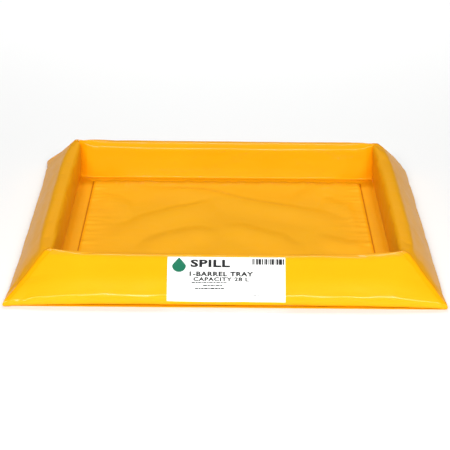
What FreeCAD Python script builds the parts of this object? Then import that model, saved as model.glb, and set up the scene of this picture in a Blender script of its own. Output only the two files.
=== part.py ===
# Soft-sided spill containment pallet for one drum, in millimetres.
#
# A square tray of coated fabric. Four foam wedges stand on the rim of a floor membrane. Each wedge has
# its own cover, welded to the floor membrane inside the tray and under the toe, and the covers meet in
# mitres that are closed by weld strips. +Z is up, -Y is the labelled front, and the origin is the
# centre of the underside.

import FreeCAD
import Part
import math
import os

# Driving dimensions
INNER_SIDE = 610.0        # clear width and length inside the walls
SUMP_DEPTH = 76.0         # from the floor membrane's top to the ridge
WALL_BASE = 74.0          # from the inner face to the toe
RIM = 2.0                 # the floor membrane's cut edge past the toe
FABRIC = 0.6              # coated fabric
RIDGE_RADIUS = 12.0       # outside of the cover, at the top
TOE_RADIUS = 14.0         # outside of the cover, at the outer edge
TOE_CENTRE = 8.0          # height of the toe's round above the floor membrane
FOAM_EASE = 0.3           # gap between the foam and its cover
FLOOR_LAP = 25.0          # cover welded to the floor membrane inside the tray
TOE_TUCK = 22.0           # cover turned in under the foam
WELD_GROOVE_WIDTH = 2.5   # line that the weld bar presses into the floor membrane
WELD_GROOVE_DEPTH = 0.2
OUTER_SEAM_WING = 10.0    # width of a mitre strip on each wall's slope
INNER_SEAM_WING = 12.0    # width of a corner strip on each inner face
STRIP = 0.4               # thickness of the mitre and corner strips
LABEL_WIDTH = 204.0
LABEL_LOW = 12.0          # height of the label's lower edge
LABEL_HIGH = 72.0         # height of the label's upper edge
LABEL_FILM = 0.25

# Derived places
INNER_HALF = INNER_SIDE / 2
TOE_HALF = INNER_HALF + WALL_BASE
FLOOR_HALF = TOE_HALF + RIM
FLOOR_TOP = FABRIC
RIDGE_TOP = FLOOR_TOP + SUMP_DEPTH
SECTOR_REACH = FLOOR_HALF + 10.0   # past everything, for the mitre cuts

WALLS = {"front": 0.0, "right": 90.0, "back": 180.0, "left": 270.0}
CORNERS = {"front_right": 0.0, "back_right": 90.0, "back_left": 180.0, "front_left": 270.0}


def vector(x, y, z):
    return FreeCAD.Vector(x, y, z)


def turned(shape, degrees):
    """A copy of a front-side shape, turned about the tray's centre."""
    copy = shape.copy()
    copy.rotate(vector(0, 0, 0), vector(0, 0, 1), degrees)
    return copy


def box(low, high):
    return Part.makeBox(high[0] - low[0], high[1] - low[1], high[2] - low[2], vector(*low))


def wedge_wire(grow, foot):
    """The wall's cross-section in the YZ plane, grown outwards by `grow`, standing at height `foot`.

    It runs up the inner face, round the ridge, down the slope and round the toe. `out` is measured
    outwards from the inner face, so the front wall has y = -(INNER_HALF + out).
    """
    ridge_r = RIDGE_RADIUS + grow
    toe_r = TOE_RADIUS + grow
    ridge = (RIDGE_RADIUS, RIDGE_TOP - RIDGE_RADIUS)
    toe = (WALL_BASE - TOE_RADIUS, FLOOR_TOP + TOE_CENTRE)

    # The slope touches both circles, so along the centre line its normal advances by the radius step.
    run_out, run_up = toe[0] - ridge[0], toe[1] - ridge[1]
    between = math.hypot(run_out, run_up)
    normal = math.atan2(run_up, run_out) + math.acos((ridge_r - toe_r) / between)

    def on(centre, radius, angle):
        return centre[0] + radius * math.cos(angle), centre[1] + radius * math.sin(angle)

    def place(point):
        return vector(0, -(INNER_HALF + point[0]), point[1])

    inner_foot = (-grow, foot)
    inner_top = on(ridge, ridge_r, math.pi)
    ridge_mid = on(ridge, ridge_r, (math.pi + normal) / 2)
    slope_top = on(ridge, ridge_r, normal)
    slope_foot = on(toe, toe_r, normal)
    toe_mid = on(toe, toe_r, normal / 2)
    toe_side = on(toe, toe_r, 0)
    toe_foot = (WALL_BASE + grow, foot)
    return Part.Wire([
        Part.LineSegment(place(inner_foot), place(inner_top)).toShape(),
        Part.Arc(place(inner_top), place(ridge_mid), place(slope_top)).toShape(),
        Part.LineSegment(place(slope_top), place(slope_foot)).toShape(),
        Part.Arc(place(slope_foot), place(toe_mid), place(toe_side)).toShape(),
        Part.LineSegment(place(toe_side), place(toe_foot)).toShape(),
        Part.LineSegment(place(toe_foot), place(inner_foot)).toShape(),
    ])


def wedge(grow, foot, half_length=SECTOR_REACH):
    """The wall's cross-section run along X."""
    profile = Part.Face(wedge_wire(grow, foot))
    profile.translate(vector(-half_length, 0, 0))
    return profile.extrude(vector(2 * half_length, 0, 0))


def sector(shift=0.0):
    """The quarter of the plan that belongs to the front wall, with its mitres moved in by `shift`."""
    tip = vector(0, -shift, -1)
    left = vector(-SECTOR_REACH, -SECTOR_REACH - shift, -1)
    right = vector(SECTOR_REACH, -SECTOR_REACH - shift, -1)
    plan = Part.Face(Part.makePolygon([tip, left, right, tip]))
    return plan.extrude(vector(0, 0, RIDGE_TOP + 10))


def floor_membrane():
    """The base sheet under the whole tray, with the weld bar's line pressed in beside the laps."""
    sheet = box((-FLOOR_HALF, -FLOOR_HALF, 0), (FLOOR_HALF, FLOOR_HALF, FLOOR_TOP))
    outer = INNER_HALF - FLOOR_LAP
    inner = outer - WELD_GROOVE_WIDTH
    low = FLOOR_TOP - WELD_GROOVE_DEPTH
    line = box((-outer, -outer, low), (outer, outer, FLOOR_TOP + 1))
    line = line.cut(box((-inner, -inner, 0), (inner, inner, FLOOR_TOP + 1)))
    return sheet.cut(line)


def foam_wedge():
    """The front wall's foam, standing on the tucked hem of its cover."""
    shrink = -(FABRIC + FOAM_EASE)
    return wedge(shrink, FLOOR_TOP + FABRIC + FOAM_EASE).common(sector(FOAM_EASE))


def wall_cover():
    """The front wall's cover: floor lap, inner face, ridge, slope, toe and the hem tucked under."""
    shell = wedge(0, FLOOR_TOP).cut(wedge(-FABRIC, FLOOR_TOP - 1))
    lap = box((-SECTOR_REACH, -INNER_HALF - FABRIC, FLOOR_TOP),
              (SECTOR_REACH, -INNER_HALF + FLOOR_LAP, FLOOR_TOP + FABRIC))
    tuck = box((-SECTOR_REACH, -TOE_HALF, FLOOR_TOP),
               (SECTOR_REACH, -TOE_HALF + TOE_TUCK, FLOOR_TOP + FABRIC))
    return shell.fuse([lap, tuck]).removeSplitter().common(sector())


def outer_half_strip():
    """Half of a mitre strip, on the front wall's ridge, slope and toe, at its right end."""
    skin = wedge(STRIP, FLOOR_TOP).cut(wedge(0, FLOOR_TOP - 1))
    skin = skin.cut(box((-SECTOR_REACH, -INNER_HALF - RIDGE_RADIUS, 0),
                        (SECTOR_REACH, 0, RIDGE_TOP + 10)))
    # The mitre is at 45 degrees in plan, so a wing this wide reaches sqrt(2) further along X.
    end = skin.common(sector()).cut(sector(OUTER_SEAM_WING * math.sqrt(2)))
    return end.common(box((0, -SECTOR_REACH, 0), (SECTOR_REACH, 0, RIDGE_TOP + 10)))


def outer_corner_seam():
    """The strip over the front right mitre, with a wing on each wall."""
    wing = outer_half_strip()
    across = wing.mirror(vector(0, 0, 0), vector(1, 1, 0).normalize())
    return wing.fuse(across).removeSplitter()


def inner_corner_seam():
    """The angle strip up the front right corner inside the tray, with a foot on the laps."""
    corner_x, corner_y = INNER_HALF, -INNER_HALF
    low = FLOOR_TOP + FABRIC
    high = RIDGE_TOP - RIDGE_RADIUS
    on_front = box((corner_x - INNER_SEAM_WING, corner_y, low), (corner_x, corner_y + STRIP, high))
    on_right = box((corner_x - STRIP, corner_y, low), (corner_x, corner_y + INNER_SEAM_WING, high))
    foot = Part.Face(Part.makePolygon([
        vector(corner_x, corner_y, low),
        vector(corner_x, corner_y + INNER_SEAM_WING, low),
        vector(corner_x - INNER_SEAM_WING, corner_y, low),
        vector(corner_x, corner_y, low),
    ])).extrude(vector(0, 0, STRIP))
    return on_front.fuse([on_right, foot]).removeSplitter()


def label():
    """The printed film stuck over the front wall's slope and toe."""
    film = wedge(LABEL_FILM, FLOOR_TOP, LABEL_WIDTH / 2).cut(wedge(0, FLOOR_TOP - 1))
    reach = LABEL_WIDTH / 2
    return film.common(box((-reach, -SECTOR_REACH, LABEL_LOW),
                           (reach, -INNER_HALF - RIDGE_RADIUS, LABEL_HIGH)))


def build():
    pieces = {"floor_membrane": floor_membrane(), "label": label()}
    foam, cover = foam_wedge(), wall_cover()
    for side, angle in WALLS.items():
        pieces[side + "_foam_wedge"] = turned(foam, angle)
        pieces[side + "_wall_cover"] = turned(cover, angle)
    outer_seam, inner_seam = outer_corner_seam(), inner_corner_seam()
    for corner, angle in CORNERS.items():
        pieces[corner + "_outer_seam"] = turned(outer_seam, angle)
        pieces[corner + "_inner_seam"] = turned(inner_seam, angle)
    return pieces


def main():
    os.makedirs("parts", exist_ok=True)
    for name, shape in sorted(build().items()):
        shape.exportStep("parts/" + name + ".step")
        size = shape.BoundBox
        print("%-26s solids %d  valid %s  volume %.0f mm3  box %.1f x %.1f x %.1f" % (
            name, len(shape.Solids), shape.isValid(), shape.Volume,
            size.XLength, size.YLength, size.ZLength))


main()
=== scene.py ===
import bpy
import math
import numpy as np
from mathutils import Euler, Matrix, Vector, noise


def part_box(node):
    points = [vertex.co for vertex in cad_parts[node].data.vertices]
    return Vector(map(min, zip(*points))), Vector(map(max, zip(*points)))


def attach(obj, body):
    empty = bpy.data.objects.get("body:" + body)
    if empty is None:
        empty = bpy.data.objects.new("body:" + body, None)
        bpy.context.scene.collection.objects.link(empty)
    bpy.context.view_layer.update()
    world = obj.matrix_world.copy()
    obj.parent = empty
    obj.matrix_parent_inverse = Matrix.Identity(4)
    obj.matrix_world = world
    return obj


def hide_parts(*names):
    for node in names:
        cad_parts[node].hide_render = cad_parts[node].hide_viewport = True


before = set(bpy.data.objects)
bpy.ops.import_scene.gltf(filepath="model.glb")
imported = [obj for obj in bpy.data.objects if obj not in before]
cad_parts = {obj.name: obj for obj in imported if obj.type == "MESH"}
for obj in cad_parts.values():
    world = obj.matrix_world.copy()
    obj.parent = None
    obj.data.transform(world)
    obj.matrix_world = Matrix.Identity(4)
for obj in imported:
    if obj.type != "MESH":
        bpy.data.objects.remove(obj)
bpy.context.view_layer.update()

# A soft-sided spill tray: a coated-fabric floor inside four foam walls, each in a welded cover.
# Metres. +Z is up and -Y is the labelled front. A wall is made at the front and turned to its side.

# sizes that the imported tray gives
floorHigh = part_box("floor_membrane")[1]
coverLow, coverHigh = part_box("front_wall_cover")
labelLow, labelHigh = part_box("label")
lapWidth = 0.025                        # cover welded flat to the floor, inside the tray
innerHalf = lapWidth - coverHigh.y      # from the middle to a wall's inner face
wallBase = -coverLow.y - innerHalf      # from a wall's inner face to its toe
ridgeTop = coverHigh.z
floorTop = floorHigh.z


# small helpers

def smooth(value, low, high):           # 0 below low, 1 above high, eased between
    share = np.clip((value - low) / (high - low), 0.0, 1.0)
    return share * share * (3 - 2 * share)


def deselectAll():
    if bpy.context.object and bpy.context.object.mode != "OBJECT":
        bpy.ops.object.mode_set(mode="OBJECT")
    bpy.ops.object.select_all(action="DESELECT")


def makeActive(*objects):
    deselectAll()
    for obj in objects:
        obj.select_set(True)
    bpy.context.view_layer.objects.active = objects[0]
    return objects[0]


def getPoints(obj):
    points = np.empty(len(obj.data.vertices) * 3)
    obj.data.vertices.foreach_get("co", points)
    return points.reshape(-1, 3)


def setPoints(obj, points):
    obj.data.vertices.foreach_set("co", np.asarray(points, float).ravel())
    obj.data.update()


def pickFaces(obj, wanted):             # selects just these faces, by their place in the mesh
    bpy.ops.object.mode_set(mode="OBJECT")
    for part in (obj.data.vertices, obj.data.edges):
        part.foreach_set("select", np.zeros(len(part), bool))
    obj.data.polygons.foreach_set("select", np.asarray(wanted, bool))
    bpy.ops.object.mode_set(mode="EDIT")
    bpy.ops.mesh.select_mode(type="FACE")


def getRows(obj):                       # each point's row in the cover's profile
    rows = np.empty(len(obj.data.vertices))
    obj.data.attributes["row"].data.foreach_get("value", rows)
    return rows


def faceRows(obj):                      # every face of a cover is a quad
    quads = np.empty(len(obj.data.polygons) * 4, int)
    obj.data.polygons.foreach_get("vertices", quads)
    return getRows(obj)[quads.reshape(-1, 4)].mean(axis=1)


def deleteFaces(obj, unwanted):
    makeActive(obj)
    pickFaces(obj, unwanted)
    bpy.ops.mesh.delete(type="FACE")
    bpy.ops.object.mode_set(mode="OBJECT")


def cutAway(obj, place, towards):       # cuts off what lies behind a plane
    makeActive(obj)
    bpy.ops.object.mode_set(mode="EDIT")
    bpy.ops.mesh.select_all(action="SELECT")
    bpy.ops.mesh.bisect(plane_co=place, plane_no=towards, clear_inner=True)
    bpy.ops.object.mode_set(mode="OBJECT")


def applyModifier(obj, kind, **settings):
    makeActive(obj)
    modifier = obj.modifiers.new(kind.title(), kind)
    for name, value in settings.items():
        setattr(modifier, name, value)
    bpy.ops.object.modifier_apply(modifier=modifier.name)


def settle(obj, turn=0.0):              # the piece's place goes into its mesh
    makeActive(obj)
    if turn:
        obj.rotation_euler = (0, 0, math.radians(turn))
    bpy.ops.object.transform_apply(location=True, rotation=True, scale=True)


def copyOf(obj, name):
    twin = obj.copy()
    twin.data = obj.data.copy()
    twin.name = name
    bpy.context.collection.objects.link(twin)
    return twin


def finishPiece(obj, name, material):
    obj.name = name
    obj.data.name = name
    obj.data.materials.clear()
    obj.data.materials.append(material)
    makeActive(obj)
    bpy.ops.object.shade_smooth_by_angle(angle=math.radians(50))
    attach(obj, "root")


# camera, floor and lights

studio = {
    "cameraPlace": (-0.003, -3.050, 1.157),
    "pitch": 20.6,              # degrees below level
    "roll": 0.5,
    "lens": 135.0,
    "floorSize": 14.0,
    "floorColour": "#F4F4F3",
    "skyColour": "#DDE3EA",     # the studio's walls above the lamps
    "skyStrength": 0.08,
    "wallColour": "#FFF6E4",    # the studio's walls at the floor
    "wallStrength": 0.05,
}
softLights = {
    "frontFill": {"place": (0.0, -3.6, 2.0), "aim": (0, 0, 0), "size": (3.0, 0.6), "power": 232.0},
    "topBank": {"place": (0.0, 0.9, 2.6), "aim": (0, 0.3, 0), "size": (3.2, 2.4), "power": 5.0},
    "farBank": {"place": (0.0, 2.4, 3.0), "aim": (0, 2.4, 0), "size": (3.0, 1.0), "power": 96.0},
}


def linear(hexColour):                  # sRGB hex to linear RGBA
    parts = [int(hexColour[i:i + 2], 16) / 255 for i in (1, 3, 5)]
    return [p / 12.92 if p <= 0.04045 else ((p + 0.055) / 1.055) ** 2.4 for p in parts] + [1.0]


def addNode(tree, kind, settings=None, links=None):
    node = tree.nodes.new("ShaderNode" + kind)
    for key, value in (settings or {}).items():
        if isinstance(key, int) or key in node.inputs:
            node.inputs[key].default_value = value
        else:
            setattr(node, key, value)
    for key, source in (links or {}).items():
        tree.links.new(source, node.inputs[key])
    return node


def newMaterial(name):
    material = bpy.data.materials.new(name)
    material.use_nodes = True
    material.node_tree.nodes.clear()
    return material, material.node_tree


def makeStudio():
    scene = bpy.context.scene
    bpy.ops.object.camera_add(location=studio["cameraPlace"])
    camera = bpy.context.object
    camera.name = "camera"
    camera.data.sensor_width = 36.0
    camera.data.lens = studio["lens"]
    camera.rotation_euler = Euler((math.radians(90 - studio["pitch"]), 0, 0))
    camera.rotation_euler.rotate_axis("Z", math.radians(studio["roll"]))
    scene.camera = camera

    bpy.ops.mesh.primitive_plane_add(size=studio["floorSize"])
    ground = bpy.context.object
    ground.name = "studioFloor"
    material, tree = newMaterial("matte painted floor")
    shader = addNode(tree, "BsdfPrincipled", {
        "Base Color": linear(studio["floorColour"]), "Roughness": 0.9, "Specular IOR Level": 0.1})
    addNode(tree, "OutputMaterial", {}, {"Surface": shader.outputs[0]})
    ground.data.materials.append(material)

    for name, light in softLights.items():
        bpy.ops.object.light_add(type="AREA", location=light["place"])
        lamp = bpy.context.object
        lamp.name = name
        lamp.data.shape = "RECTANGLE"
        lamp.data.size, lamp.data.size_y = light["size"]
        lamp.data.energy = light["power"]
        towards = Vector(light["aim"]) - Vector(light["place"])
        lamp.rotation_euler = towards.to_track_quat("-Z", "Y").to_euler()

    world = bpy.data.worlds.new("studio air")
    scene.world = world
    world.use_nodes = True
    tree = world.node_tree
    tree.nodes.clear()
    place = addNode(tree, "TexCoord")
    height = addNode(tree, "SeparateXYZ", {}, {0: place.outputs["Generated"]})
    climb = addNode(tree, "MapRange", {
        "interpolation_type": "SMOOTHSTEP", "From Min": 0.02, "From Max": 0.30},
        {"Value": height.outputs["Z"]})
    low = addNode(tree, "Background", {"Color": linear(studio["wallColour"]),
                                       "Strength": studio["wallStrength"]})
    high = addNode(tree, "Background", {"Color": linear(studio["skyColour"]),
                                        "Strength": studio["skyStrength"]})
    air = addNode(tree, "MixShader", {}, {0: climb.outputs[0], 1: low.outputs[0], 2: high.outputs[0]})
    addNode(tree, "OutputWorld", {}, {"Surface": air.outputs[0]})
    scene.view_settings.view_transform = "Standard"
    scene.view_settings.look = "None"


makeStudio()
print("studio: camera, floor and", len(softLights), "soft lights")


# materials

waveSpan = math.pi / 10                 # a wave texture's bands are this far apart at scale 1
drawnPitch = {"scrim": 0.003, "ribs": 0.004, "foamCells": 0.002}


def coatedFabric(name, colour, deepColour, weaveBump, weldShadeLine=None):
    # PVC-coated polyester, calendered and plasticised: a smooth, wet-looking skin over a woven scrim.
    # The eye gets soft bright streaks on the bends, a faint weave, and smears where hands have been.
    material, tree = newMaterial(name)
    place = addNode(tree, "TexCoord")
    # the scrim's real pitch is about 1 mm; it is drawn at 3 mm, the finest that shows
    warp = addNode(tree, "TexWave", {"bands_direction": "X", "Scale": waveSpan / drawnPitch["scrim"]},
                   {"Vector": place.outputs["UV"]})
    weft = addNode(tree, "TexWave", {"bands_direction": "Y", "Scale": waveSpan / drawnPitch["scrim"]},
                   {"Vector": place.outputs["UV"]})
    scrim = addNode(tree, "Math", {"operation": "MAXIMUM"}, {0: warp.outputs["Fac"], 1: weft.outputs["Fac"]})
    cloud = addNode(tree, "TexNoise", {"Scale": 9.0, "Detail": 3.0}, {"Vector": place.outputs["Object"]})
    smear = addNode(tree, "TexNoise", {"Scale": 26.0, "Detail": 5.0, "Distortion": 0.8},
                    {"Vector": place.outputs["Object"]})
    grain = addNode(tree, "TexNoise", {"Scale": 900.0, "Detail": 2.0}, {"Vector": place.outputs["Object"]})
    tint = addNode(tree, "Mix", {"data_type": "RGBA", 6: linear(deepColour), 7: linear(colour)},
                   {0: cloud.outputs["Fac"]})
    if weldShadeLine:                        # painted shade: the floor is coloured a darker orange along the square line where the weld's groove lies
        where = addNode(tree, "SeparateXYZ", {}, {0: place.outputs["Object"]})
        sideways = addNode(tree, "Math", {"operation": "ABSOLUTE"}, {0: where.outputs["X"]})
        endways = addNode(tree, "Math", {"operation": "ABSOLUTE"}, {0: where.outputs["Y"]})
        square = addNode(tree, "Math", {"operation": "MAXIMUM"},
                         {0: sideways.outputs[0], 1: endways.outputs[0]})
        pressed = addNode(tree, "Math", {"operation": "COMPARE", 1: weldShadeLine["place"], 2: weldShadeLine["half"]},
                          {0: square.outputs[0]})
        tint = addNode(tree, "Mix", {"data_type": "RGBA", 7: linear(weldShadeLine["colour"])},
                       {0: pressed.outputs[0], 6: tint.outputs[2]})
    gloss = addNode(tree, "MapRange", {"From Min": 0.3, "From Max": 0.7, "To Min": 0.48, "To Max": 0.62},
                    {"Value": smear.outputs["Fac"]})
    fine = addNode(tree, "Bump", {"Strength": weaveBump, "Distance": 0.0002}, {"Height": scrim.outputs[0]})
    skin = addNode(tree, "Bump", {"Strength": 0.06, "Distance": 0.0004},
                   {"Height": grain.outputs["Fac"], "Normal": fine.outputs[0]})
    shader = addNode(tree, "BsdfPrincipled", {
        "IOR": 1.45, "Specular IOR Level": 0.08, "Coat Weight": 0.2, "Coat Roughness": 0.12},
        {"Base Color": tint.outputs[2], "Roughness": gloss.outputs[0], "Normal": skin.outputs[0]})
    addNode(tree, "OutputMaterial", {}, {"Surface": shader.outputs[0]})
    return material


def weldedTape(name, colour, deepColour):
    # The same coated fabric as a tape, pressed on by a hot bar: flatter and shinier, with the bar's
    # fine ribs across it and a slightly deeper colour where the coating melted.
    material, tree = newMaterial(name)
    place = addNode(tree, "TexCoord")
    ribs = addNode(tree, "TexWave", {"bands_direction": "Z", "Scale": waveSpan / drawnPitch["ribs"]},
                   {"Vector": place.outputs["Object"]})
    melt = addNode(tree, "TexNoise", {"Scale": 60.0, "Detail": 4.0}, {"Vector": place.outputs["Object"]})
    tint = addNode(tree, "Mix", {"data_type": "RGBA", 6: linear(deepColour), 7: linear(colour)},
                   {0: melt.outputs["Fac"]})
    gloss = addNode(tree, "MapRange", {"To Min": 0.18, "To Max": 0.3}, {"Value": melt.outputs["Fac"]})
    pressed = addNode(tree, "Bump", {"Strength": 0.12, "Distance": 0.0003}, {"Height": ribs.outputs["Fac"]})
    shader = addNode(tree, "BsdfPrincipled", {
        "IOR": 1.45, "Specular IOR Level": 0.08, "Coat Weight": 0.17, "Coat Roughness": 0.12},
        {"Base Color": tint.outputs[2], "Roughness": gloss.outputs[0], "Normal": pressed.outputs[0]})
    addNode(tree, "OutputMaterial", {}, {"Surface": shader.outputs[0]})
    return material


def cutFoam(name):
    # Polyurethane foam, sliced from a block: off-white and chalky, with open cells about 1 mm across,
    # drawn at 2 mm, and a yellowed tinge where air has reached it.
    material, tree = newMaterial(name)
    place = addNode(tree, "TexCoord")
    cells = addNode(tree, "TexVoronoi", {"Scale": 1 / drawnPitch["foamCells"]},
                    {"Vector": place.outputs["Object"]})
    age = addNode(tree, "TexNoise", {"Scale": 14.0, "Detail": 4.0}, {"Vector": place.outputs["Object"]})
    tint = addNode(tree, "Mix", {"data_type": "RGBA", 6: linear("#E6DEC4"), 7: linear("#D3C49A")},
                   {0: age.outputs["Fac"]})
    pits = addNode(tree, "Bump", {"Strength": 0.6, "Distance": 0.0008}, {"Height": cells.outputs["Distance"]})
    shader = addNode(tree, "BsdfPrincipled", {"Roughness": 0.95, "Specular IOR Level": 0.2},
                     {"Base Color": tint.outputs[2], "Normal": pits.outputs[0]})
    addNode(tree, "OutputMaterial", {}, {"Surface": shader.outputs[0]})
    return material


def labelFilm(name, colour, roughness):
    # Polyester label film, printed by heat transfer: flat and satin, with the faint orange peel of its
    # adhesive and slightly uneven ink or stock.
    material, tree = newMaterial(name)
    place = addNode(tree, "TexCoord")
    peel = addNode(tree, "TexNoise", {"Scale": 240.0, "Detail": 2.0}, {"Vector": place.outputs["Object"]})
    cloud = addNode(tree, "TexNoise", {"Scale": 30.0, "Detail": 3.0}, {"Vector": place.outputs["Object"]})
    whole = linear(colour)
    worn = [channel * 0.93 for channel in whole[:3]] + [1.0]
    tint = addNode(tree, "Mix", {"data_type": "RGBA", 6: whole, 7: worn}, {0: cloud.outputs["Fac"]})
    satin = addNode(tree, "MapRange", {"To Min": roughness - 0.05, "To Max": roughness + 0.08},
                    {"Value": cloud.outputs["Fac"]})
    bumps = addNode(tree, "Bump", {"Strength": 0.05, "Distance": 0.0002}, {"Height": peel.outputs["Fac"]})
    shader = addNode(tree, "BsdfPrincipled", {"IOR": 1.5}, {
        "Base Color": tint.outputs[2], "Roughness": satin.outputs[0], "Normal": bumps.outputs[0]})
    addNode(tree, "OutputMaterial", {}, {"Surface": shader.outputs[0]})
    return material


coverFabric = coatedFabric("PVC-coated polyester", "#EFA708", "#E99F05", 0.10)
# the floor's last argument paints shade, a darker orange, along the square line of the weld's groove
floorFabric = coatedFabric("PVC-coated polyester floor", "#F0AC08", "#EAA206", 0.14,
                           {"place": innerHalf - lapWidth - 0.0026, "half": 0.0015, "colour": "#BF7402"})
tape = weldedTape("hot-bar welded tape", "#EEA207", "#EA9A04")
foam = cutFoam("polyurethane foam")
filmWhite = labelFilm("white polyester film", "#F7F7F5", 0.42)
inkBlack = labelFilm("black resin ink", "#17181A", 0.38)
inkGreen = labelFilm("green resin ink", "#0F6B4F", 0.38)
print("materials:", len(bpy.data.materials))


# wall covers

cover = {
    "columns": 128,             # about 6 mm apart at the toe
    "rest": 0.0012,             # the lap and hem lie this high, on the floor membrane
    "footRound": 0.0025,
    # rounds of the ridge on its tray side and its slope side, of the toe, and of the toe's underside:
    # where the mitres pull the cover tight, and where it is slack and its ridge is folded or rolled
    "tight": {"ridge": 0.006, "shoulder": 0.011, "toe": 0.006, "under": 0.004},
    "folded": {"ridge": 0.007, "shoulder": 0.034, "toe": 0.022, "under": 0.007},
    "rolled": {"ridge": 0.014, "shoulder": 0.022, "toe": 0.022, "under": 0.007},
    "hem": 0.022,
    "steps": {"lap": 5, "foot": 4, "face": 13, "ridge": 8, "shoulder": 7, "slope": 15, "toe": 11, "under": 5,
              "hem": 4},
    "thickness": 0.0006,
    "spare": 0.002,             # extra cloth between the welds, as a share of its size
    "frames": 16,
    "mostMoved": 0.002,
    "swell": 0.0022,            # how far the foam pushes out the middle of the slope
    "swellOut": 0.66,           # and how that is shared between out and up
    "swellUp": 0.75,
    "lapPuff": 0.0016,          # the lap stands this high between its weld and the wall
    "dent": 0.0007,             # how deep the foam gives
    "toeOut": 0.0014,           # how far the toe rolls out, rolls up, lifts the slope, and ripples
    "toeUp": 0.0012,
    "slopeUp": 0.0016,
    "ripple": 0.0006,
    "tuckLift": 0.7,            # a tucked toe rises by this share of its tuck
    "leanFrom": 0.040,          # the inner face leans above this height
}
clothFeel = {"quality": 6, "mass": 0.3, "tension_stiffness": 40, "compression_stiffness": 40,
             "shear_stiffness": 20, "bending_stiffness": 4, "air_damping": 6, "use_pressure": True,
             "uniform_pressure_force": 2.5}
# each wall: its shape where it is slack, how slack its ridge and toe are, how far the ridge leans into
# the tray, how far the foot is undercut, how far it bridges the crease, and how much the toe sways
walls = {
    "front": {"turn": 0, "ends": ("front_left", "front_right"), "shape": "folded", "slack": (0.5, 1.0),
              "lean": -0.002, "undercut": 0.0, "bridge": 0.0, "sway": 1.0, "seed": 1.7},
    "right": {"turn": 90, "ends": ("front_right", "back_right"), "shape": "folded", "slack": (1.0, 0.2),
              "lean": -0.002, "undercut": 0.002, "bridge": 0.15, "sway": 0.35, "seed": 4.1},
    "back": {"turn": 180, "ends": ("back_right", "back_left"), "shape": "rolled", "slack": (1.0, 0.5),
             "lean": 0.002, "undercut": 0.0, "bridge": 1.0, "sway": 0.5, "seed": 8.3},
    "left": {"turn": 270, "ends": ("back_left", "front_left"), "shape": "folded", "slack": (1.0, 0.2),
             "lean": -0.002, "undercut": 0.004, "bridge": 0.0, "sway": 0.35, "seed": 6.2},
}
# each corner: how far its peak rises and leans in, its toe is tucked in, and its crease opens
corners = {
    "front_left": {"rise": 0.0028, "lean": 0.001, "tuck": -0.005, "slit": 0.0},
    "front_right": {"rise": 0.0038, "lean": 0.001, "tuck": -0.002, "slit": 0.0},
    "back_right": {"rise": 0.0020, "lean": 0.002, "tuck": 0.009, "slit": 0.001},
    "back_left": {"rise": 0.0042, "lean": 0.000, "tuck": -0.006, "slit": 0.006},
}
# a bridged foot: where it starts and ends along the wall, how far it takes to, and its size
bridge = {"from": -0.86, "to": 0.80, "easeIn": 0.12, "easeOut": 0.14, "reach": 0.005, "rise": 0.002,
          "top": 0.030}


def arcPoints(centre, radius, start, end, count):
    angles = [math.radians(start + (end - start) * i / count) for i in range(count + 1)]
    return [(centre[0] + radius * math.cos(a), centre[1] + radius * math.sin(a)) for a in angles]


def linePoints(start, end, count):      # the points between two ends
    return [(start[0] + (end[0] - start[0]) * i / count, start[1] + (end[1] - start[1]) * i / count)
            for i in range(1, count)]


def coverProfile(rounds):               # (out from the inner face, height), from the lap to the hem
    rest, foot, steps = cover["rest"], cover["footRound"], cover["steps"]
    ridge = (rounds["ridge"], ridgeTop - rounds["ridge"])
    shoulder = (ridge[0], ridgeTop - rounds["shoulder"])
    toe = (wallBase - rounds["toe"], rest + rounds["under"])
    below = (wallBase - rounds["under"], toe[1])
    slope = math.degrees(math.atan2(toe[1] - shoulder[1], toe[0] - shoulder[0])
                         + math.acos((rounds["shoulder"] - rounds["toe"]) / math.dist(shoulder, toe)))
    footArc = arcPoints((-foot, rest + foot), foot, -90, 0, steps["foot"])
    ridgeArc = arcPoints(ridge, rounds["ridge"], 180, 90, steps["ridge"])
    ridgeArc += arcPoints(shoulder, rounds["shoulder"], 90, slope, steps["shoulder"])[1:]
    toeArc = arcPoints(toe, rounds["toe"], slope, 0, steps["toe"])
    toeArc += arcPoints(below, rounds["under"], 0, -90, steps["under"])[1:]
    hemEnd = (toeArc[-1][0] - cover["hem"], rest)
    points = [(-lapWidth, rest)] + linePoints((-lapWidth, rest), footArc[0], steps["lap"]) + footArc
    points += linePoints(footArc[-1], ridgeArc[0], steps["face"]) + ridgeArc
    points += linePoints(ridgeArc[-1], toeArc[0], steps["slope"]) + toeArc
    return points + linePoints(toeArc[-1], hemEnd, steps["hem"]) + [hemEnd]


def layOut(obj, profile):               # each point's row, and the flat cloth as UV in metres
    steps = [0.0] + [math.dist(a, b) for a, b in zip(profile, profile[1:])]
    across = np.cumsum(steps)
    keys = np.array(profile)
    points = getPoints(obj)
    outs = -points[:, 1] - innerHalf
    nearest = np.argmin((outs[:, None] - keys[None, :, 0]) ** 2
                        + (points[:, 2][:, None] - keys[None, :, 1]) ** 2, axis=1)
    obj.data.attributes.new("row", "FLOAT", "POINT").data.foreach_set("value", nearest.astype(float))
    flat = np.stack([points[:, 0], across[nearest]], axis=1)
    loops = np.empty(len(obj.data.loops), int)
    obj.data.loops.foreach_get("vertex_index", loops)
    obj.data.uv_layers[0].data.foreach_set("uv", flat[loops].ravel())


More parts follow.
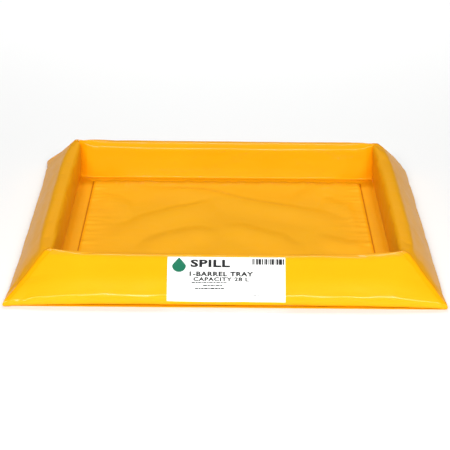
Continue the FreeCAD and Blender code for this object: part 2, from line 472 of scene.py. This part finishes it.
def makeCoverBlank(profile):
    deselectAll()
    bpy.ops.mesh.primitive_grid_add(x_subdivisions=cover["columns"], y_subdivisions=1, size=1)
    blank = bpy.context.object
    points = getPoints(blank)           # the first strip is the lap's edge, and its outer row is drawn out
    outer = points[:, 1] < 0
    for row, (out, height) in ((~outer, profile[0]), (outer, profile[1])):
        reach = innerHalf + out
        points[row] = [(x * 2 * reach, -reach, height) for x in points[row, 0]]
    setPoints(blank, points)
    bpy.ops.object.mode_set(mode="EDIT")
    bpy.ops.mesh.select_all(action="DESELECT")
    bpy.ops.mesh.select_mode(type="VERT")
    bpy.ops.object.mode_set(mode="OBJECT")
    blank.data.vertices.foreach_set("select", outer)
    bpy.ops.object.mode_set(mode="EDIT")
    bpy.ops.mesh.select_mode(type="EDGE")
    for last, point in zip(profile[1:], profile[2:]):
        bpy.ops.mesh.extrude_region_move(TRANSFORM_OT_translate={
            "value": (0, last[0] - point[0], point[1] - last[1])})
        grow = (innerHalf + point[0]) / (innerHalf + last[0])     # the mitre makes outer rows longer
        bpy.ops.transform.resize(value=(grow, 1, 1), center_override=(0, 0, 0))
    bpy.ops.object.mode_set(mode="OBJECT")
    layOut(blank, profile)
    return blank


def waver(u, place, seed, size):        # slow unevenness along a wall, from -1 to 1
    return np.array([noise.noise(Vector((a * size, b * 30, seed))) for a, b in zip(u, place)])


def shapeWall(obj, side):
    wall = walls[side]
    points = getPoints(obj)
    rows = getRows(obj)
    out = -points[:, 1] - innerHalf
    height = points[:, 2].copy()
    u = points[:, 0] / (innerHalf + out)                # -1 and 1 at the mitres
    rounder = np.array(slackProfiles[wall["shape"]]) - np.array(profile)
    toeShare = smooth(rows, marks["crest"], marks["hem"] - 12)
    slackness = wall["slack"][0] * (1 - toeShare) + wall["slack"][1] * toeShare
    slack = (slackness * (1 - np.abs(u) ** 6))[:, None] * rounder[rows.astype(int)]
    out += slack[:, 0]
    height += slack[:, 1]
    near, far = (corners[name] for name in wall["ends"])
    end = {key: np.where(u < 0, near[key], far[key]) for key in near}
    free = 1 - np.abs(u) ** 8                           # the mitres stay where they are welded
    inside = rows < marks["crest"]

    # the ridge leans into the tray, more at the corners, and rises to a peak there
    lean = wall["lean"] + (end["lean"] - wall["lean"]) * np.abs(u) ** 3
    share = np.where(inside, smooth(height, cover["leanFrom"], ridgeTop), np.clip(height / ridgeTop, 0, 1))
    newOut = out - lean * share
    newHeight = height + end["rise"] * np.abs(u) ** 4 * share

    # where the foot is slack it bridges from the lap's weld to the wall
    bridged = wall["bridge"] * smooth(u, bridge["from"], bridge["from"] + bridge["easeIn"])
    bridged *= 1 - smooth(u, bridge["to"] - bridge["easeOut"], bridge["to"])
    onLap = rows <= marks["foot"] - 2
    along = np.clip((out + lapWidth) / lapWidth, 0, 1)
    climb = np.clip((height - cover["rest"]) / (bridge["top"] - cover["rest"]), 0, 1)
    pull = np.where(onLap, along, (1 - climb) ** 3) * inside * bridged
    push = np.where(onLap, along ** 2, (1 - climb) ** 3) * inside * bridged
    newOut -= bridge["reach"] * pull
    newHeight += bridge["rise"] * push

    # the slope swells, and the foot is drawn in under the wall
    swell = cover["swell"] * np.sin(math.pi * smooth(rows, marks["slope"], marks["toe"])) * free
    newOut += cover["swellOut"] * swell
    newHeight += cover["swellUp"] * swell
    newOut += wall["undercut"] * free * inside * (1 - climb) ** 2 * (rows > marks["foot"] - 4)

    # the corner's crease opens half way up
    newOut += end["slit"] * smooth(np.abs(u), 0.965, 0.995) * inside * np.sin(climb * 2.6)

    # the toe rolls in and out, and its corners are turned out, or tucked in and lifted
    toe = smooth(out, wallBase * 0.55, wallBase * 0.95)
    sway = wall["sway"] * waver(u, out * 0, wall["seed"], 3.4)
    ripple = wall["sway"] * waver(u, out * 3, wall["seed"] + 20, 9.0)
    newOut += free * toe * (cover["toeOut"] * sway + cover["ripple"] * ripple)
    newHeight += free * toe * smooth(height, 0.002, 0.02) * cover["toeUp"] * sway
    newHeight += free * smooth(out, 0.045, 0.06) * wall["sway"] * cover["slopeUp"] * np.maximum(sway, 0)
    tucked = end["tuck"] * np.where(end["tuck"] > 0, np.abs(u) ** 16, np.abs(u) ** 5) * toe
    newOut -= tucked
    newHeight += np.maximum(tucked, 0) * cover["tuckLift"]

    # the lap puffs up between its weld and the wall, and the foam gives in shallow dents
    lapPlace = np.clip((out + lapWidth) / (lapWidth - cover["footRound"]), 0, 1)
    newHeight += (rows < marks["foot"] - 2) * cover["lapPuff"] * np.sin(math.pi * lapPlace) ** 0.5
    newOut += free * cover["dent"] * waver(u, height, wall["seed"] + 40, 4.0) * smooth(height, 0.008, 0.03)
    points[:, 0] = u * (innerHalf + newOut)
    points[:, 1] = -(innerHalf + newOut)
    points[:, 2] = newHeight
    setPoints(obj, points)
    return np.flatnonzero((rows < marks["foot"] - 1) | (rows > marks["hem"]) | (np.abs(u) > 0.9999))


def puffCloth(obj, held):               # the welded cover swells between its seams, and puckers
    start = getPoints(obj)
    group = obj.vertex_groups.new(name="welded")
    group.add([int(i) for i in held], 1.0, "REPLACE")
    modifier = obj.modifiers.new("Cloth", "CLOTH")
    cloth = modifier.settings
    cloth.vertex_group_mass = "welded"
    for key, value in clothFeel.items():
        setattr(cloth, key, value)
    cloth.shrink_min = -cover["spare"]
    cloth.effector_weights.gravity = 0
    modifier.point_cache.frame_end = cover["frames"]
    for number in range(1, cover["frames"] + 1):
        bpy.context.scene.frame_set(number)
    blown = obj.evaluated_get(bpy.context.evaluated_depsgraph_get())
    swollen = np.empty(len(blown.data.vertices) * 3)
    blown.data.vertices.foreach_get("co", swollen)
    move = swollen.reshape(-1, 3) - start
    length = np.linalg.norm(move, axis=1, keepdims=True)
    most = cover["mostMoved"]
    obj.modifiers.remove(modifier)
    obj.vertex_groups.clear()
    setPoints(obj, start + move * most * np.tanh(length / most) / np.maximum(length, 1e-9))
    bpy.context.scene.frame_set(1)
    return float(length.max())


# foam wedges

foamWedge = {"ease": 0.0025, "base": 0.0022, "endGap": 0.002}     # clear of its cover, floor and mitres


def makeFoam(skin, side):               # the wedge that fills a cover, as its cover has pressed it
    piece = copyOf(skin, side + "Foam")
    rows = faceRows(piece)
    deleteFaces(piece, (rows < marks["foot"]) | (rows > marks["hem"]))
    applyModifier(piece, "DISPLACE", strength=-foamWedge["ease"], mid_level=0.0)
    rows = getRows(piece)
    points = getPoints(piece)
    border = (rows < marks["foot"] + 0.5) | (rows > marks["hem"] - 0.5)
    points[border, 2] = foamWedge["base"]
    points[:, 0] *= 1 - foamWedge["endGap"]
    setPoints(piece, points)
    makeActive(piece)
    bpy.ops.object.mode_set(mode="EDIT")
    bpy.ops.mesh.select_all(action="DESELECT")
    bpy.ops.mesh.select_mode(type="EDGE")
    bpy.ops.object.mode_set(mode="OBJECT")
    for edge in piece.data.edges:
        a, b = edge.vertices
        edge.select = bool(border[a] and border[b] and rows[a] == rows[b])
    bpy.ops.object.mode_set(mode="EDIT")
    bpy.ops.mesh.bridge_edge_loops()
    bpy.ops.mesh.select_all(action="SELECT")
    bpy.ops.mesh.fill_holes(sides=0)
    bpy.ops.mesh.normals_make_consistent(inside=False)
    bpy.ops.object.mode_set(mode="OBJECT")
    settle(piece, walls[side]["turn"])
    finishPiece(piece, side + "FoamWedge", foam)
    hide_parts(side + "_foam_wedge")


profile = coverProfile(cover["tight"])
slackProfiles = {shape: coverProfile(cover[shape]) for shape in ("folded", "rolled")}
footRow = cover["steps"]["lap"] + cover["steps"]["foot"]
crestRow = max(range(len(profile)), key=lambda i: profile[i][1])
slopeRow = crestRow + cover["steps"]["shoulder"]
marks = {"foot": footRow, "crest": crestRow, "slope": slopeRow, "toe": slopeRow + cover["steps"]["slope"],
         "hem": len(profile) - 1 - cover["steps"]["hem"]}
blank = makeCoverBlank(profile)
print("cover blank:", len(profile), "rows,", len(blank.data.polygons), "faces")
coverSkins = {}
for side, wall in walls.items():
    skin = copyOf(blank, side + "Skin")
    held = shapeWall(skin, side)
    moved = puffCloth(skin, held)
    makeFoam(skin, side)
    settle(skin, wall["turn"])
    applyModifier(skin, "SUBSURF", levels=1, render_levels=1)
    coverSkins[side] = skin
    piece = copyOf(skin, side + "Cover")
    applyModifier(piece, "SOLIDIFY", thickness=cover["thickness"], offset=-1.0)
    finishPiece(piece, side + "WallCover", coverFabric)
    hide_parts(side + "_wall_cover")
    print(side, "wall: cover and foam, cloth moved up to", round(moved * 1000, 1), "mm")
bpy.data.objects.remove(blank)


# welded tapes over the mitres and up the inner corners

tapes = {
    "outer": {"wing": 0.0065, "thickness": 0.0006},     # the wing is measured square to the mitre, in plan
    "inner": {"wing": 0.0080, "thickness": 0.0004},
}


def cutWing(side, end, lowRow, highRow, width):         # one wall's half of a tape
    wing = copyOf(coverSkins[side], "wing")
    rows = faceRows(wing)
    deleteFaces(wing, (rows < lowRow) | (rows > highRow))
    away = Vector((end, 1, 0)).normalized()
    away.rotate(Euler((0, 0, math.radians(walls[side]["turn"]))))
    cutAway(wing, -away * width, away)
    return wing


def makeTape(corner, kind, lowRow, highRow):
    shape = tapes[kind]
    owners = [(side, end) for side, wall in walls.items()
              for end, name in zip((-1, 1), wall["ends"]) if name == corner]
    wings = [cutWing(side, end, lowRow, highRow, shape["wing"]) for side, end in owners]
    piece = makeActive(*wings)
    bpy.ops.object.join()
    bpy.ops.object.mode_set(mode="EDIT")
    bpy.ops.mesh.select_all(action="SELECT")
    bpy.ops.mesh.remove_doubles(threshold=0.0002)
    bpy.ops.object.mode_set(mode="OBJECT")
    applyModifier(piece, "SOLIDIFY", thickness=shape["thickness"], offset=1.2)
    name = corner + "_" + kind + "_seam"
    first, second = corner.split("_")
    finishPiece(piece, first + second.title() + kind.title() + "Seam", tape)
    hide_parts(name)


for corner in corners:
    makeTape(corner, "outer", marks["crest"] - 1, marks["hem"] - 0.5)
    makeTape(corner, "inner", marks["foot"] - 4, marks["crest"] - 2)
print("welded tapes:", 2 * len(corners))


# floor membrane

floorCloth = {
    "edge": 0.0035,             # its cut edge lies this far inside the frame's, under the toe
    "cells": 180,
    "thickness": 0.0005,
    "weldLine": 0.0016,         # between the lap's edge and the middle of the pressed line
    "weldHalf": 0.0015,
    "puff": 0.0030,             # the cloth stands this high beside the weld
    "puffReach": 0.006,         # and gets there this far from it
    "backDrop": 0.036,          # from a fold's crest down its far side
    "foldFade": 0.035,          # the folds fade out this far from the weld
    "lineWidth": 31,            # how many steps of 200 round off a fold's corners
    "billow": 0.0010,           # slow unevenness all over
    "pucker": 0.0045,           # short puckers beside the weld, and how far they reach
    "puckerReach": 0.03,
}
# the folds where the membrane doesn't lie flat: each crest from left to right, in mm, its height in mm,
# and how far it takes to climb to it
floorFolds = {
    "longLeft": ([(-230, -30), (-190, 0), (-160, 40), (-100, 90), (-40, 130), (10, 160)], 5.4, 85),
    "upper": ([(-210, 240), (-160, 210), (-80, 210), (-40, 200), (10, 160), (40, 140), (110, 110), (180, 80),
               (240, 40)], 5.1, 80),
    "rightUp": ([(130, 150), (160, 190), (190, 230), (230, 250)], 3.9, 60),
    "right": ([(190, 160), (220, 130), (240, 110), (260, 60)], 3.6, 50),
    "left": ([(-260, 170), (-230, 150), (-180, 90)], 3.6, 60),
    "lowerLeft": ([(-170, -120), (-150, -90), (-120, -60), (-90, -40), (-60, -20), (-10, -30)], 4.2, 80),
    "lowerRight": ([(-10, 0), (20, 0), (60, -30), (100, -60), (120, -90), (150, -110)], 4.2, 80),
    "rightLow": ([(170, -50), (200, -70), (230, -90), (270, -90)], 3.6, 60),
}


def foldHeight(x, y, crest, height, climb):
    knotsX, knotsY = np.array(crest).T / 1000
    steps = np.linspace(knotsX[0], knotsX[-1], 200)
    line = np.interp(steps, knotsX, knotsY)
    width = floorCloth["lineWidth"]
    line = np.convolve(np.pad(line, width // 2, mode="edge"), np.ones(width) / width, mode="valid")
    lean = np.gradient(line, steps)
    away = (y - np.interp(x, steps, line)) / np.hypot(1, np.interp(x, steps, lean))
    share = (x - steps[0]) / (steps[-1] - steps[0])
    fade = smooth(share, -0.05, 0.3) * (1 - smooth(share, 0.7, 1.05))
    shape = smooth(away, -climb / 1000, 0) * (1 - smooth(away, 0, floorCloth["backDrop"]))
    return height / 1000 * fade * shape


def makeFloor():
    half = floorHigh.x - floorCloth["edge"]
    deselectAll()
    bpy.ops.mesh.primitive_grid_add(x_subdivisions=floorCloth["cells"], y_subdivisions=floorCloth["cells"],
                                    size=2 * half, location=(0, 0, floorTop))
    piece = bpy.context.object
    settle(piece)
    line = innerHalf - lapWidth - floorCloth["weldLine"]
    bpy.ops.object.mode_set(mode="EDIT")
    for axis in ((1, 0, 0), (0, 1, 0)):
        for place in (line - floorCloth["weldHalf"], line, line + floorCloth["weldHalf"]):
            for way in (-1, 1):
                bpy.ops.mesh.select_all(action="SELECT")
                bpy.ops.mesh.bisect(plane_co=[way * place * part for part in axis], plane_no=axis)
    bpy.ops.object.mode_set(mode="OBJECT")
    points = getPoints(piece)
    x, y = points[:, 0], points[:, 1]
    inward = line - np.maximum(np.abs(x), np.abs(y))        # from the weld line towards the middle
    rise = floorCloth["puff"] * smooth(inward, 0, floorCloth["puffReach"])
    folds = np.linalg.norm([foldHeight(x, y, *fold) for fold in floorFolds.values()], axis=0)
    rise += folds * smooth(inward, 0, floorCloth["foldFade"])
    for i, (a, b) in enumerate(zip(x, y)):
        if inward[i] > 0:
            slow = noise.noise(Vector((a * 7, b * 9, 3.3)))
            near = math.exp(-inward[i] / floorCloth["puckerReach"])     # puckers stand square to the weld
            along = b if abs(a) > abs(b) else a
            pucker = noise.noise(Vector((along * 55, inward[i] * 14, 7.7)))
            uneven = floorCloth["billow"] * (slow + 0.5) + floorCloth["pucker"] * near * abs(pucker)
            rise[i] += min(1, inward[i] / floorCloth["puffReach"]) * uneven
    points[:, 2] = floorTop - 0.0001 + rise
    setPoints(piece, points)
    flat = np.empty(len(piece.data.loops) * 2)
    piece.data.uv_layers[0].data.foreach_get("uv", flat)
    piece.data.uv_layers[0].data.foreach_set("uv", flat * 2 * half)     # in metres, for the weave
    applyModifier(piece, "SOLIDIFY", thickness=floorCloth["thickness"], offset=-1.0)
    finishPiece(piece, "floorMembrane", floorFabric)
    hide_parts("floor_membrane")
    print("floor membrane:", len(piece.data.polygons), "faces, highest fold",
          round(max(rise) * 1000, 1), "mm")


makeFloor()


# label

labelPrint = {
    "film": 0.00025,
    "ink": 0.00035,             # the print's face stands this far off the film
    "inkThickness": 0.0002,
    "spacing": 1.1,
    "top": 0.0738,              # the film reaches a little over the ridge's shoulder
    "clear": 0.008,             # the print starts this far off the wall and is laid on its nearest point
    "heading": {"text": "SPILL", "size": 0.0185, "wide": 1.52, "left": 0.040, "base": 0.0625, "bold": 0.0008},
    "name": {"text": "1-BARREL TRAY", "size": 0.0122, "wide": 1.20, "left": 0.036, "base": 0.0445,
             "bold": 0.0005},
    "capacity": {"text": "CAPACITY 28 L", "size": 0.0104, "wide": 1.25, "left": 0.045, "base": 0.0345,
                 "bold": 0.0004},
    "droplet": {"across": 0.024, "left": 0.0200, "base": 0.0640},
}
# short bars stand for small print: left end, height up the film, height of the bar, lengths in steps
dash = {"step": 0.0007, "gap": 0.0009}
smallPrint = [
    (0.042, 0.0300, 0.0022, (9, 5, 7, 3, 8, 4, 9, 6, 10, 5, 8)),
    (0.062, 0.0248, 0.0022, (10, 6, 8, 3, 9, 5)),
    (0.048, 0.0196, 0.0022, (8, 5, 6, 9, 4, 10, 7, 5, 8)),
    (0.160, 0.0165, 0.0009, (6, 4, 7, 5)),
    (0.138, 0.0075, 0.0012, (7, 5, 8, 6, 9, 5, 7)),
    (0.010, 0.0075, 0.0008, (6, 4, 5)),
]
lineCode = {"left": 0.147, "base": 0.0670, "height": 0.0120, "unit": 0.00112,
            "gaps": (0.0013, 0.0017, 0.0009), "bars": (2, 1, 3, 4, 2, 1, 3, 1, 2, 4, 1, 3, 5, 2)}


def makeFilm():
    film = copyOf(coverSkins["front"], "film")
    rows = faceRows(film)
    deleteFaces(film, (rows < marks["crest"]) | (rows > marks["hem"]))
    cutAway(film, (labelLow.x, 0, 0), (1, 0, 0))
    cutAway(film, (labelHigh.x, 0, 0), (-1, 0, 0))
    cutAway(film, (0, 0, labelLow.z), (0, 0, 1))
    cutAway(film, (0, 0, labelPrint["top"]), (0, 0, -1))
    applyModifier(film, "SOLIDIFY", thickness=labelPrint["film"], offset=1.2)
    finishPiece(film, "labelFilm", filmWhite)
    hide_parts("label")
    return film


def addText(words):
    deselectAll()
    bpy.ops.object.text_add()
    letters = bpy.context.object
    letters.data.body = words["text"]
    letters.data.size = words["size"]
    letters.data.offset = words["bold"]
    letters.data.space_character = labelPrint["spacing"]
    letters.data.resolution_u = 3
    bpy.ops.object.convert(target="MESH")
    letters.scale = (words["wide"], 1, 1)
    letters.location = (words["left"], words["base"], 0)
    settle(letters)
    return letters


def addBar(left, base, width, height):
    bpy.ops.mesh.primitive_plane_add(size=1, location=(left + width / 2, base + height / 2, 0))
    bar = bpy.context.object
    bar.scale = (width, height, 1)
    settle(bar)
    return bar


def addDroplet():
    shape = labelPrint["droplet"]
    deselectAll()
    bpy.ops.mesh.primitive_circle_add(vertices=48, radius=shape["across"] / 2, fill_type="TRIFAN",
                                      location=(shape["left"], shape["base"], 0))
    drop = bpy.context.object
    points = getPoints(drop)
    up = np.clip(points[:, 1] / (shape["across"] / 2), 0, 1)
    points[:, 0] *= 1 - up ** 1.4 * 0.75
    points[:, 1] *= 1 + up ** 2 * 0.45
    setPoints(drop, points)
    settle(drop)
    return drop


def stickOn(flatPieces, film, name, ink):               # lays ink on the film, wherever the film went
    piece = makeActive(*flatPieces)
    bpy.ops.object.join()
    bpy.ops.object.mode_set(mode="EDIT")
    bpy.ops.mesh.select_all(action="SELECT")
    bpy.ops.mesh.quads_convert_to_tris()
    bpy.ops.mesh.subdivide(number_cuts=3)
    bpy.ops.object.mode_set(mode="OBJECT")
    points = getPoints(piece)
    height = np.interp(points[:, 1], filmRise, filmHeights) + labelPrint["clear"]
    out = np.interp(points[:, 1], filmRise, filmOuts) + labelPrint["clear"]
    setPoints(piece, np.stack([labelLow.x + points[:, 0], -innerHalf - out, height], axis=1))
    applyModifier(piece, "SHRINKWRAP", target=film, wrap_method="NEAREST_SURFACEPOINT",
                  wrap_mode="ABOVE_SURFACE", offset=labelPrint["ink"])
    applyModifier(piece, "SOLIDIFY", thickness=labelPrint["inkThickness"], offset=-1.0)
    finishPiece(piece, name, ink)


film = makeFilm()
slope = slackProfiles["folded"][marks["hem"]:marks["crest"]:-1]      # up the outside, from under the toe
filmOuts, filmHeights = zip(*slope)
filmRise = np.cumsum([0.0] + [math.dist(a, b) for a, b in zip(slope, slope[1:])])
filmRise -= np.interp(labelLow.z, filmHeights, filmRise)     # distance up the film from its lower edge
blackInk = [addText(labelPrint[name]) for name in ("heading", "name", "capacity")]
for left, base, height, lengths in smallPrint:
    for length in lengths:
        blackInk.append(addBar(left, base, length * dash["step"], height))
        left += length * dash["step"] + dash["gap"]
left = lineCode["left"]
for i, bar in enumerate(lineCode["bars"]):
    width = bar * lineCode["unit"]
    blackInk.append(addBar(left, lineCode["base"], width, lineCode["height"]))
    left += width + lineCode["gaps"][i % len(lineCode["gaps"])]
stickOn(blackInk, film, "labelBlackPrint", inkBlack)
stickOn([addDroplet()], film, "labelDroplet", inkGreen)
print("label:", round(float(np.interp(labelHigh.z, filmHeights, filmRise)) * 1000), "mm up the wall")

for skin in coverSkins.values():
    bpy.data.objects.remove(skin)
